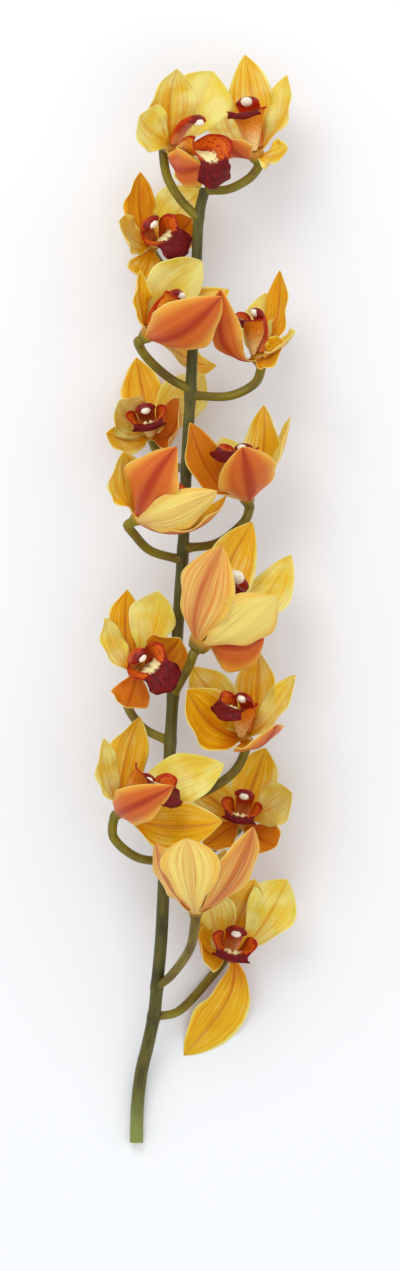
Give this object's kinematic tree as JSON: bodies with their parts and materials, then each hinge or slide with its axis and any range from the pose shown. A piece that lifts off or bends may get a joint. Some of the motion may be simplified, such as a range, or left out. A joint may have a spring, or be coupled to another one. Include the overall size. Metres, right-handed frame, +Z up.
{
  "type": "cymbidium orchid stem",
  "caption": "Cut cymbidium orchid stem lying on its back: a green stem with short stalks and open yellow and orange blooms with dark red lips.",
  "frame": {"origin": "centre of the bounding box in plan, on the surface that the stem lies on", "axes": "+Y along the stem from its cut end to its tip, +X to the right seen from above, +Z up from the surface"},
  "size_m": [0.116, 0.6338, 0.1132],
  "materials": {
    "stem": "satin green skin, paler at the cut end",
    "tepals": "waxy, pale yellow inside and orange outside, with fine lengthwise veins",
    "lip": "velvety maroon front lobe, cream ridges and orange-red spotted side lobes",
    "column": "waxy crimson to orange with a cream cap at its end"
  },
  "bodies": {
    "root": {"stem": "stem", "bloom_01_tepals": "tepals", "bloom_01_lip": "lip", "bloom_01_column": "column", "bloom_02_tepals": "tepals", "bloom_02_lip": "lip", "bloom_02_column": "column", "bloom_03_tepals": "tepals", "bloom_03_lip": "lip", "bloom_03_column": "column", "bloom_04_tepals": "tepals", "bloom_04_lip": "lip", "bloom_04_column": "column", "bloom_05_tepals": "tepals", "bloom_05_lip": "lip", "bloom_05_column": "column", "bloom_06_tepals": "tepals", "bloom_06_lip": "lip", "bloom_06_column": "column", "bloom_07_tepals": "tepals", "bloom_07_lip": "lip", "bloom_07_column": "column", "bloom_08_tepals": "tepals", "bloom_08_lip": "lip", "bloom_08_column": "column", "bloom_09_tepals": "tepals", "bloom_09_lip": "lip", "bloom_09_column": "column", "bloom_10_tepals": "tepals", "bloom_10_lip": "lip", "bloom_10_column": "column", "bloom_11_tepals": "tepals", "bloom_11_lip": "lip", "bloom_11_column": "column", "bloom_12_tepals": "tepals", "bloom_12_lip": "lip", "bloom_12_column": "column", "bloom_13_tepals": "tepals", "bloom_13_lip": "lip", "bloom_13_column": "column", "bloom_14_tepals": "tepals", "bloom_14_lip": "lip", "bloom_14_column": "column", "bloom_15_tepals": "tepals", "bloom_15_lip": "lip", "bloom_15_column": "column"}
  },
  "joints": []
}
